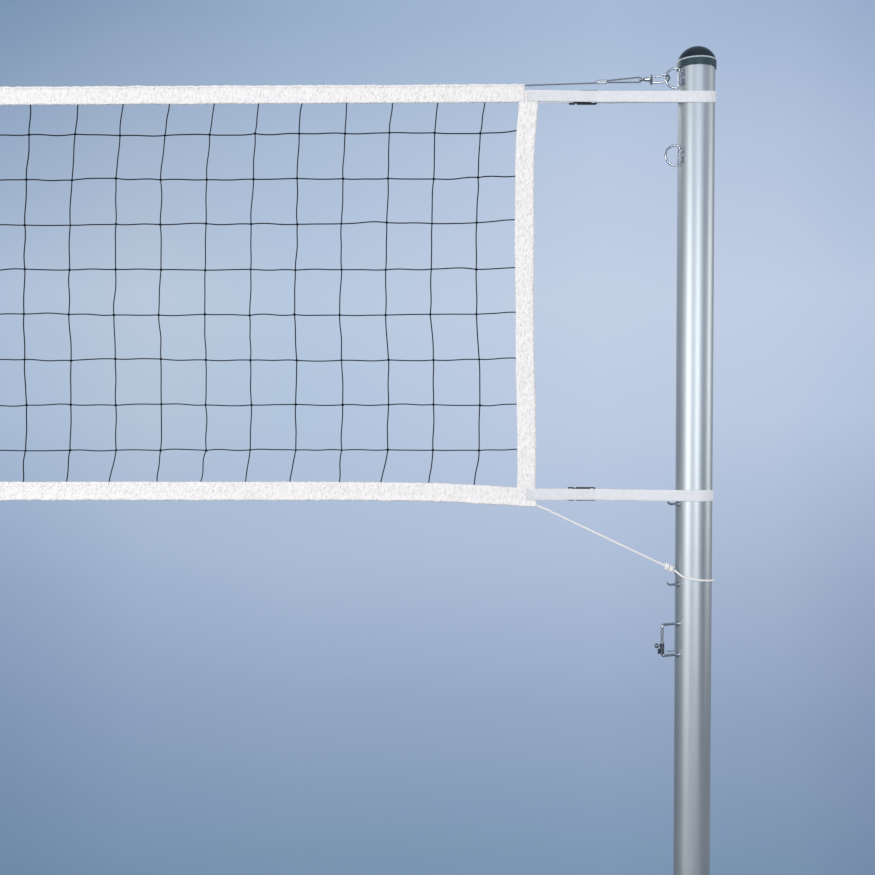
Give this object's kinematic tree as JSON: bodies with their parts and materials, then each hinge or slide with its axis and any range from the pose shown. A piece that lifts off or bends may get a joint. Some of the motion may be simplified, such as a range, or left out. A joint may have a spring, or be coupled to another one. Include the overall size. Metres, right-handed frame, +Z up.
{
  "type": "volleyball net on posts",
  "caption": "White-banded black volleyball net strung between two round aluminium posts by a top cable with snap hooks, buckled straps and tie cords.",
  "frame": {"origin": "midway between the two posts, level with their lower ends; the court surface is 250 mm above it", "axes": "+X along the net toward the end that the picture shows, +Y away from the viewer, +Z up"},
  "size_m": [10.5826, 0.0926, 2.766],
  "materials": {
    "band": "white coated cloth, sewn",
    "bracket_steel": "satin blue-grey",
    "buckle_plastic": "black moulded",
    "cap_plastic": "smooth black",
    "clip_steel": "zinc plated",
    "ferrule": "pressed",
    "hook_steel": "zinc plated",
    "latch_plastic": "black",
    "netting": "black knotted cord",
    "post_aluminium": "satin anodised",
    "ring_steel": "plated wire",
    "rivet_steel": "zinc plated",
    "rope": "white braid",
    "snap_steel": "plated, worn",
    "webbing": "white woven",
    "wire_rope": "bright stranded"
  },
  "bodies": {
    "net_and_posts": {"net_mesh": "netting", "top_hem": "band", "bottom_hem": "band", "top_cable": "wire_rope", "bottom_cord": "rope", "right_side_hem": "band", "right_post": "post_aluminium", "right_post_cap": "cap_plastic", "right_upper_ring_clip": "clip_steel", "right_lower_ring_clip": "clip_steel", "right_clip_rivets": "rivet_steel", "right_upper_hook": "hook_steel", "right_lower_hook": "hook_steel", "right_hook_nuts": "hook_steel", "right_tie_bracket": "bracket_steel", "right_snap_eye": "snap_steel", "right_cable_ferrule": "ferrule", "right_upper_strap": "webbing", "right_lower_strap": "webbing", "right_upper_tab": "webbing", "right_lower_tab": "webbing", "right_upper_buckle_socket": "buckle_plastic", "right_upper_buckle_plug": "buckle_plastic", "right_lower_buckle_socket": "buckle_plastic", "right_lower_buckle_plug": "buckle_plastic", "right_tie_knot": "rope", "left_side_hem": "band", "left_post": "post_aluminium", "left_post_cap": "cap_plastic", "left_upper_ring_clip": "clip_steel", "left_lower_ring_clip": "clip_steel", "left_clip_rivets": "rivet_steel", "left_upper_hook": "hook_steel", "left_lower_hook": "hook_steel", "left_hook_nuts": "hook_steel", "left_tie_bracket": "bracket_steel", "left_snap_eye": "snap_steel", "left_cable_ferrule": "ferrule", "left_upper_strap": "webbing", "left_lower_strap": "webbing", "left_upper_tab": "webbing", "left_lower_tab": "webbing", "left_upper_buckle_socket": "buckle_plastic", "left_upper_buckle_plug": "buckle_plastic", "left_lower_buckle_socket": "buckle_plastic", "left_lower_buckle_plug": "buckle_plastic", "left_tie_knot": "rope"},
    "right_upper_ring_body": {"right_upper_ring": "ring_steel"},
    "right_lower_ring_body": {"right_lower_ring": "ring_steel"},
    "right_snap_body": {"right_snap_hook": "snap_steel"},
    "right_gate_body": {"right_snap_gate": "snap_steel"},
    "right_latch_body": {"right_bracket_latch": "latch_plastic"},
    "left_upper_ring_body": {"left_upper_ring": "ring_steel"},
    "left_lower_ring_body": {"left_lower_ring": "ring_steel"},
    "left_snap_body": {"left_snap_hook": "snap_steel"},
    "left_gate_body": {"left_snap_gate": "snap_steel"},
    "left_latch_body": {"left_bracket_latch": "latch_plastic"}
  },
  "joints": [
    {"name": "right_upper_ring_swing", "type": "hinge", "parent": "net_and_posts", "child": "right_upper_ring_body", "pos_m": [5.20367, -0.0167, 2.691], "axis": [0, 0, 1], "range_deg": [-2, 2]},
    {"name": "right_lower_ring_swing", "type": "hinge", "parent": "net_and_posts", "child": "right_lower_ring_body", "pos_m": [5.20367, -0.0167, 2.518], "axis": [0, 0, 1], "range_deg": [-68, 112]},
    {"name": "right_snap_swivel", "type": "hinge", "parent": "net_and_posts", "child": "right_snap_body", "pos_m": [5.17231, -0.0152, 2.691], "axis": [-0.9979, 0.0478, -0.044], "range_deg": [-80, 0]},
    {"name": "right_gate_swing", "type": "hinge", "parent": "right_snap_body", "child": "right_gate_body", "pos_m": [5.1398, -0.01747, 2.69279], "axis": [-0.0029, 0.6437, 0.7653], "range_deg": [0, 20], "stiffness_Nm_per_rad": 0.05, "springref_deg": -9.74},
    {"name": "right_latch_slide", "type": "slide", "parent": "net_and_posts", "child": "right_latch_body", "axis": [0, 0, 1], "range_m": [0, 0.036]},
    {"name": "left_upper_ring_swing", "type": "hinge", "parent": "net_and_posts", "child": "left_upper_ring_body", "pos_m": [-5.20367, -0.0167, 2.691], "axis": [0, 0, 1], "range_deg": [-2, 2]},
    {"name": "left_lower_ring_swing", "type": "hinge", "parent": "net_and_posts", "child": "left_lower_ring_body", "pos_m": [-5.20367, -0.0167, 2.518], "axis": [0, 0, 1], "range_deg": [-112, 68]},
    {"name": "left_snap_swivel", "type": "hinge", "parent": "net_and_posts", "child": "left_snap_body", "pos_m": [-5.17231, -0.0152, 2.691], "axis": [0.9979, 0.0478, -0.044], "range_deg": [0, 80]},
    {"name": "left_gate_swing", "type": "hinge", "parent": "left_snap_body", "child": "left_gate_body", "pos_m": [-5.1398, -0.01747, 2.69279], "axis": [0.0029, 0.6437, 0.7653], "range_deg": [-20, 0], "stiffness_Nm_per_rad": 0.05, "springref_deg": 9.74},
    {"name": "left_latch_slide", "type": "slide", "parent": "net_and_posts", "child": "left_latch_body", "axis": [0, 0, 1], "range_m": [0, 0.036]}
  ]
}
